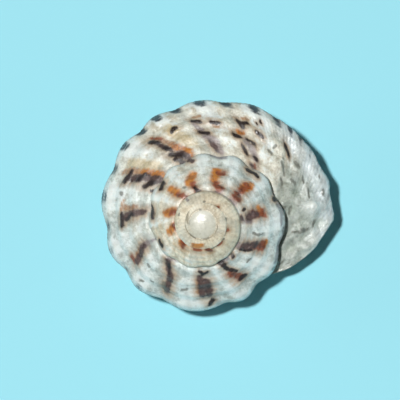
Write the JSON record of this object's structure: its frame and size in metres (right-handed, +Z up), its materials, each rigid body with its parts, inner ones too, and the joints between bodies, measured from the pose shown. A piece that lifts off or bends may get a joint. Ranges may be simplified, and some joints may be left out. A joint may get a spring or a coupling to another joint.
{
  "type": "modulus shell",
  "caption": "Low top-shaped coiled sea-snail shell with knobbed axial ribs, a keel, a corded base and an open slanting aperture, lying on its base with the apex up.",
  "frame": {"origin": "on the surface that the shell lies on, under the middle of its bounding box", "axes": "+Z up, from the base to the apex; +X along the longest extent, towards the lip; +Y away from the aperture"},
  "size_m": [0.013, 0.0118, 0.0084],
  "materials": {
    "shell_lime": "satin"
  },
  "bodies": {
    "root": {"shell": "shell_lime"}
  },
  "joints": []
}
